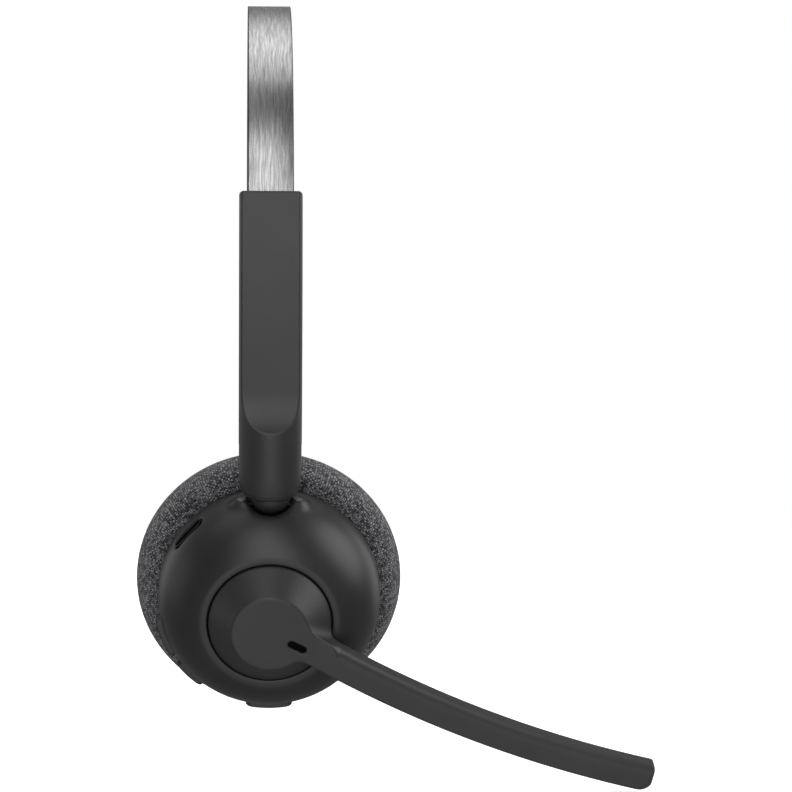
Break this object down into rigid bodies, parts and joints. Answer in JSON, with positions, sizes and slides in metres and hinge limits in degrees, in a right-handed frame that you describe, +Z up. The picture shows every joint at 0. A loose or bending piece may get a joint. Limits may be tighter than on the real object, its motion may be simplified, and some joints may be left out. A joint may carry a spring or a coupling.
{
  "type": "office headset",
  "caption": "Wireless on-ear office headset: sprung steel headband with a crown pad, sliding stems, cups that swivel and tilt, and a turning microphone boom.",
  "frame": {"origin": "middle of the crown pad's underside, where the headband rests on the head", "axes": "+Z up, +X forward for the wearer, -Y to the wearer's right"},
  "size_m": [0.1214, 0.1468, 0.1919],
  "materials": {
    "brushed_steel": "brushed along its length",
    "bright_steel": "satin",
    "black_plastic": "fine moulded texture",
    "stem_plastic": "soft satin",
    "cup_plastic": "soft-touch matte",
    "boom_plastic": "soft satin",
    "button_plastic": "satin",
    "acetal": "smooth",
    "leatherette": "fine grain",
    "heather_fabric": "heathered woven cloth",
    "scrim_cloth": "open mesh",
    "circuit_board": "solder mask",
    "battery_foil": "dull foil"
  },
  "bodies": {
    "headband": {"steel_strip": "brushed_steel", "pad_rail": "black_plastic", "crown_pad": "leatherette", "rail_rivets": "bright_steel", "right_end_stop": "black_plastic", "left_end_stop": "black_plastic"},
    "right_stem": {"right_stem_cover": "stem_plastic", "right_stem_back": "stem_plastic", "right_stem_screws": "bright_steel", "right_detent_spring": "bright_steel", "right_swivel_bush": "acetal"},
    "right_swivel": {"right_knuckle": "stem_plastic", "right_swivel_clip": "bright_steel"},
    "right_cup": {"right_cup_shell": "cup_plastic", "right_baffle": "black_plastic", "right_baffle_screws": "bright_steel", "right_driver_frame": "black_plastic", "right_driver_cone": "acetal", "right_driver_magnet": "bright_steel", "right_scrim": "scrim_cloth", "right_cushion_ring": "black_plastic", "right_cushion": "heather_fabric", "right_tilt_pin": "bright_steel", "main_board": "circuit_board", "button_switches": "bright_steel", "usb_socket": "bright_steel", "boom_washer": "bright_steel"},
    "left_stem": {"left_stem_cover": "stem_plastic", "left_stem_back": "stem_plastic", "left_stem_screws": "bright_steel", "left_detent_spring": "bright_steel", "left_swivel_bush": "acetal"},
    "left_swivel": {"left_knuckle": "stem_plastic", "left_swivel_clip": "bright_steel"},
    "left_cup": {"left_cup_shell": "cup_plastic", "left_baffle": "black_plastic", "left_baffle_screws": "bright_steel", "left_driver_frame": "black_plastic", "left_driver_cone": "acetal", "left_driver_magnet": "bright_steel", "left_scrim": "scrim_cloth", "left_cushion_ring": "black_plastic", "left_cushion": "heather_fabric", "left_tilt_pin": "bright_steel", "battery": "battery_foil", "left_hub_cap": "boom_plastic"},
    "boom": {"boom_arm": "boom_plastic", "boom_hub_base": "black_plastic", "boom_back_cover": "boom_plastic", "mic_capsule": "bright_steel", "mic_mesh": "bright_steel", "port_window": "black_plastic", "boom_clip": "bright_steel"},
    "volume_up": {"volume_up_button": "button_plastic"},
    "volume_down": {"volume_down_button": "button_plastic"},
    "power": {"power_button": "button_plastic"}
  },
  "joints": [
    {"name": "right_slide", "type": "hinge", "parent": "headband", "child": "right_stem", "pos_m": [0, 0.07944, -0.05902], "axis": [1, 0, 0], "range_deg": [0, 9.55]},
    {"name": "right_swivel", "type": "hinge", "parent": "right_stem", "child": "right_swivel", "pos_m": [0, -0.05963, -0.11521], "axis": [0, -0.3746, 0.9272], "range_deg": [-20, 20]},
    {"name": "right_tilt", "type": "hinge", "parent": "right_swivel", "child": "right_cup", "pos_m": [0, -0.05866, -0.11762], "axis": [-1, 0, 0], "range_deg": [-10, 10]},
    {"name": "left_slide", "type": "hinge", "parent": "headband", "child": "left_stem", "pos_m": [0, -0.07944, -0.05902], "axis": [-1, 0, 0], "range_deg": [0, 9.55]},
    {"name": "left_swivel", "type": "hinge", "parent": "left_stem", "child": "left_swivel", "pos_m": [0, 0.05963, -0.11521], "axis": [0, 0.3746, 0.9272], "range_deg": [-20, 20]},
    {"name": "left_tilt", "type": "hinge", "parent": "left_swivel", "child": "left_cup", "pos_m": [0, 0.05866, -0.11762], "axis": [1, 0, 0], "range_deg": [-10, 10]},
    {"name": "boom_pivot", "type": "hinge", "parent": "right_cup", "child": "boom", "pos_m": [0, -0.05825, -0.14399], "axis": [0, -0.9272, -0.3746], "range_deg": [-58, 242]},
    {"name": "volume_up_press", "type": "slide", "parent": "right_cup", "child": "volume_up", "axis": [0.9336, -0.1342, 0.3323], "range_m": [0, 0.0005], "stiffness_N_per_m": 3000},
    {"name": "volume_down_press", "type": "slide", "parent": "right_cup", "child": "volume_down", "axis": [0.7071, -0.2649, 0.6556], "range_m": [0, 0.0005], "stiffness_N_per_m": 3000},
    {"name": "power_press", "type": "slide", "parent": "right_cup", "child": "power", "axis": [0, -0.3746, 0.9272], "range_m": [0, 0.0005], "stiffness_N_per_m": 3000}
  ]
}
